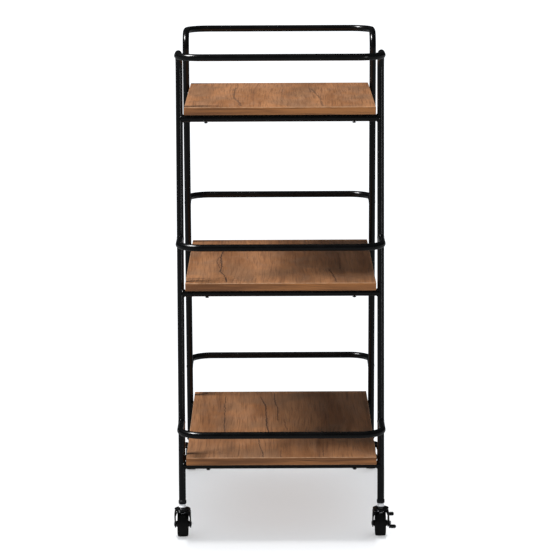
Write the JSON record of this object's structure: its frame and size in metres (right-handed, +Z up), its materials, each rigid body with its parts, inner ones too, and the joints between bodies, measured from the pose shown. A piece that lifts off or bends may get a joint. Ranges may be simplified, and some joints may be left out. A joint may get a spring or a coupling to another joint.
{
  "type": "bar cart",
  "caption": "Narrow bar cart on casters with walnut-look shelves between leaning black tube end frames that carry U-shaped guard rails.",
  "frame": {"origin": "on the floor, at the centre of the cart", "axes": "+Z up, Y along the cart with the front end at -Y, X across it"},
  "size_m": [0.427, 0.743, 0.9355],
  "materials": {
    "black_tube": "semi-gloss powder coat",
    "walnut_board": "satin rustic walnut laminate",
    "black_screw": "black oxide",
    "bright_steel": "bright zinc",
    "dark_steel": "dark zinc",
    "black_fork": "gloss black coat",
    "black_plastic": "fine moulded satin",
    "black_tread": "matt, lightly scuffed",
    "brake_plastic": "moulded satin"
  },
  "bodies": {
    "cart_frame": {"front_end_hoop": "black_tube", "front_middle_rail": "black_tube", "front_bottom_rail": "black_tube", "rear_end_hoop": "black_tube", "rear_middle_rail": "black_tube", "rear_bottom_rail": "black_tube", "bottom_front_cross_tube": "black_tube", "bottom_rear_cross_tube": "black_tube", "bottom_left_stretcher": "black_tube", "bottom_right_stretcher": "black_tube", "bottom_shelf_board": "walnut_board", "bottom_front_left_screw": "black_screw", "bottom_front_right_screw": "black_screw", "bottom_rear_left_screw": "black_screw", "bottom_rear_right_screw": "black_screw", "middle_front_cross_tube": "black_tube", "middle_rear_cross_tube": "black_tube", "middle_left_stretcher": "black_tube", "middle_right_stretcher": "black_tube", "middle_shelf_board": "walnut_board", "middle_front_left_screw": "black_screw", "middle_front_right_screw": "black_screw", "middle_rear_left_screw": "black_screw", "middle_rear_right_screw": "black_screw", "top_front_cross_tube": "black_tube", "top_rear_cross_tube": "black_tube", "top_left_stretcher": "black_tube", "top_right_stretcher": "black_tube", "top_shelf_board": "walnut_board", "top_front_left_screw": "black_screw", "top_front_right_screw": "black_screw", "top_rear_left_screw": "black_screw", "top_rear_right_screw": "black_screw", "front_left_foot_sleeve": "black_plastic", "front_left_caster_stem": "bright_steel", "front_right_foot_sleeve": "black_plastic", "front_right_caster_stem": "bright_steel", "rear_left_foot_sleeve": "black_plastic", "rear_left_caster_stem": "bright_steel", "rear_right_foot_sleeve": "black_plastic", "rear_right_caster_stem": "bright_steel"},
    "front_left_caster": {"front_left_caster_fork": "black_fork", "front_left_axle_bolt": "dark_steel"},
    "front_left_wheel": {"front_left_wheel_hub": "black_plastic", "front_left_wheel_tyre": "black_tread"},
    "front_right_caster": {"front_right_caster_fork": "black_fork", "front_right_axle_bolt": "dark_steel"},
    "front_right_wheel": {"front_right_wheel_hub": "black_plastic", "front_right_wheel_tyre": "black_tread"},
    "front_right_brake": {"front_right_brake_lever": "brake_plastic"},
    "rear_left_caster": {"rear_left_caster_fork": "black_fork", "rear_left_axle_bolt": "dark_steel"},
    "rear_left_wheel": {"rear_left_wheel_hub": "black_plastic", "rear_left_wheel_tyre": "black_tread"},
    "rear_left_brake": {"rear_left_brake_lever": "brake_plastic"},
    "rear_right_caster": {"rear_right_caster_fork": "black_fork", "rear_right_axle_bolt": "dark_steel"},
    "rear_right_wheel": {"rear_right_wheel_hub": "black_plastic", "rear_right_wheel_tyre": "black_tread"}
  },
  "joints": [
    {"name": "front_left_swivel", "type": "hinge", "parent": "cart_frame", "child": "front_left_caster", "pos_m": [-0.19, -0.2612, 0.057], "axis": [0, 0, 1], "continuous": true},
    {"name": "front_left_wheel_spin", "type": "hinge", "parent": "front_left_caster", "child": "front_left_wheel", "pos_m": [-0.19, -0.2472, 0.02469], "axis": [1, 0, 0], "continuous": true},
    {"name": "front_right_swivel", "type": "hinge", "parent": "cart_frame", "child": "front_right_caster", "pos_m": [0.19, -0.2612, 0.057], "axis": [0, 0, 1], "continuous": true},
    {"name": "front_right_wheel_spin", "type": "hinge", "parent": "front_right_caster", "child": "front_right_wheel", "pos_m": [0.19, -0.2472, 0.02469], "axis": [1, 0, 0], "continuous": true},
    {"name": "front_right_brake_rock", "type": "hinge", "parent": "front_right_caster", "child": "front_right_brake", "pos_m": [0.19, -0.2472, 0.02469], "axis": [-1, 0, 0], "range_deg": [0, 28]},
    {"name": "rear_left_swivel", "type": "hinge", "parent": "cart_frame", "child": "rear_left_caster", "pos_m": [-0.19, 0.2612, 0.057], "axis": [0, 0, 1], "continuous": true},
    {"name": "rear_left_wheel_spin", "type": "hinge", "parent": "rear_left_caster", "child": "rear_left_wheel", "pos_m": [-0.19, 0.2752, 0.02469], "axis": [1, 0, 0], "continuous": true},
    {"name": "rear_left_brake_rock", "type": "hinge", "parent": "rear_left_caster", "child": "rear_left_brake", "pos_m": [-0.19, 0.2752, 0.02469], "axis": [-1, 0, 0], "range_deg": [0, 28]},
    {"name": "rear_right_swivel", "type": "hinge", "parent": "cart_frame", "child": "rear_right_caster", "pos_m": [0.19, 0.2612, 0.057], "axis": [0, 0, 1], "continuous": true},
    {"name": "rear_right_wheel_spin", "type": "hinge", "parent": "rear_right_caster", "child": "rear_right_wheel", "pos_m": [0.19, 0.2752, 0.02469], "axis": [1, 0, 0], "continuous": true}
  ]
}
